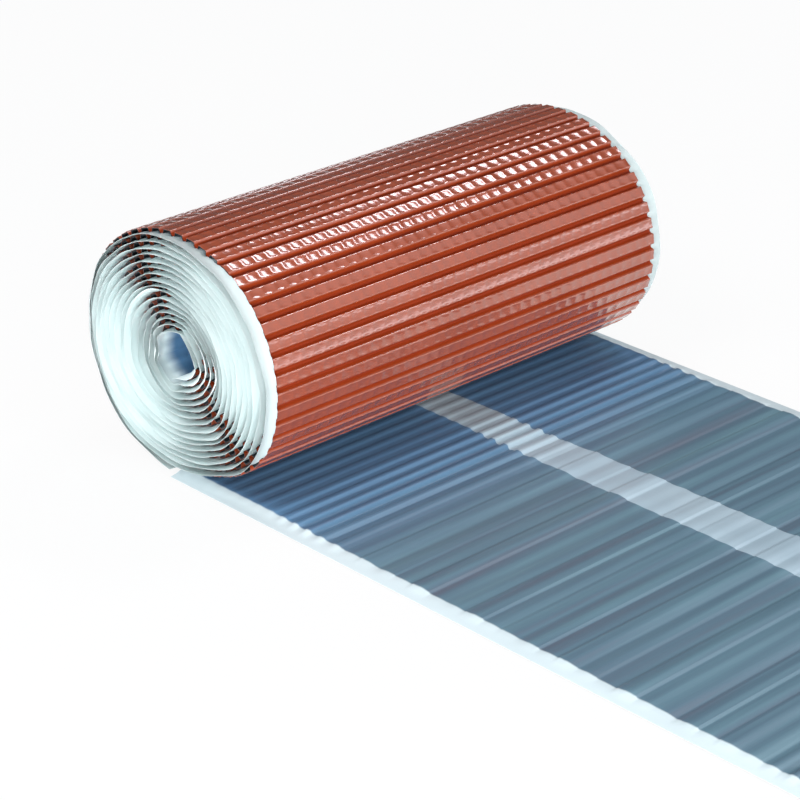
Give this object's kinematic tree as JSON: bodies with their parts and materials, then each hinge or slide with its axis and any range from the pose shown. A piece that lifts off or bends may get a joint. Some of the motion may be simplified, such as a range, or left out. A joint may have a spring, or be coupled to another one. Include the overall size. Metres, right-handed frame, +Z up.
{
  "type": "roll of roof flashing",
  "caption": "Roll of crimped, painted aluminium roof flashing with a butyl back and a split release film, lying on its side with its free end run out flat.",
  "frame": {"origin": "on the floor, under the axis of the roll and at the middle of its width", "axes": "+X along the bore to the roll's far end, -Y along the free end of the strip, +Z up"},
  "size_m": [0.32, 0.6962, 0.1418],
  "materials": {
    "painted_foil": "satin",
    "butyl": "satin",
    "release_film": "gloss"
  },
  "bodies": {
    "root": {"crimped_foil": "painted_foil", "butyl_coat": "butyl", "release_film_near": "release_film", "release_film_far": "release_film"}
  },
  "joints": []
}
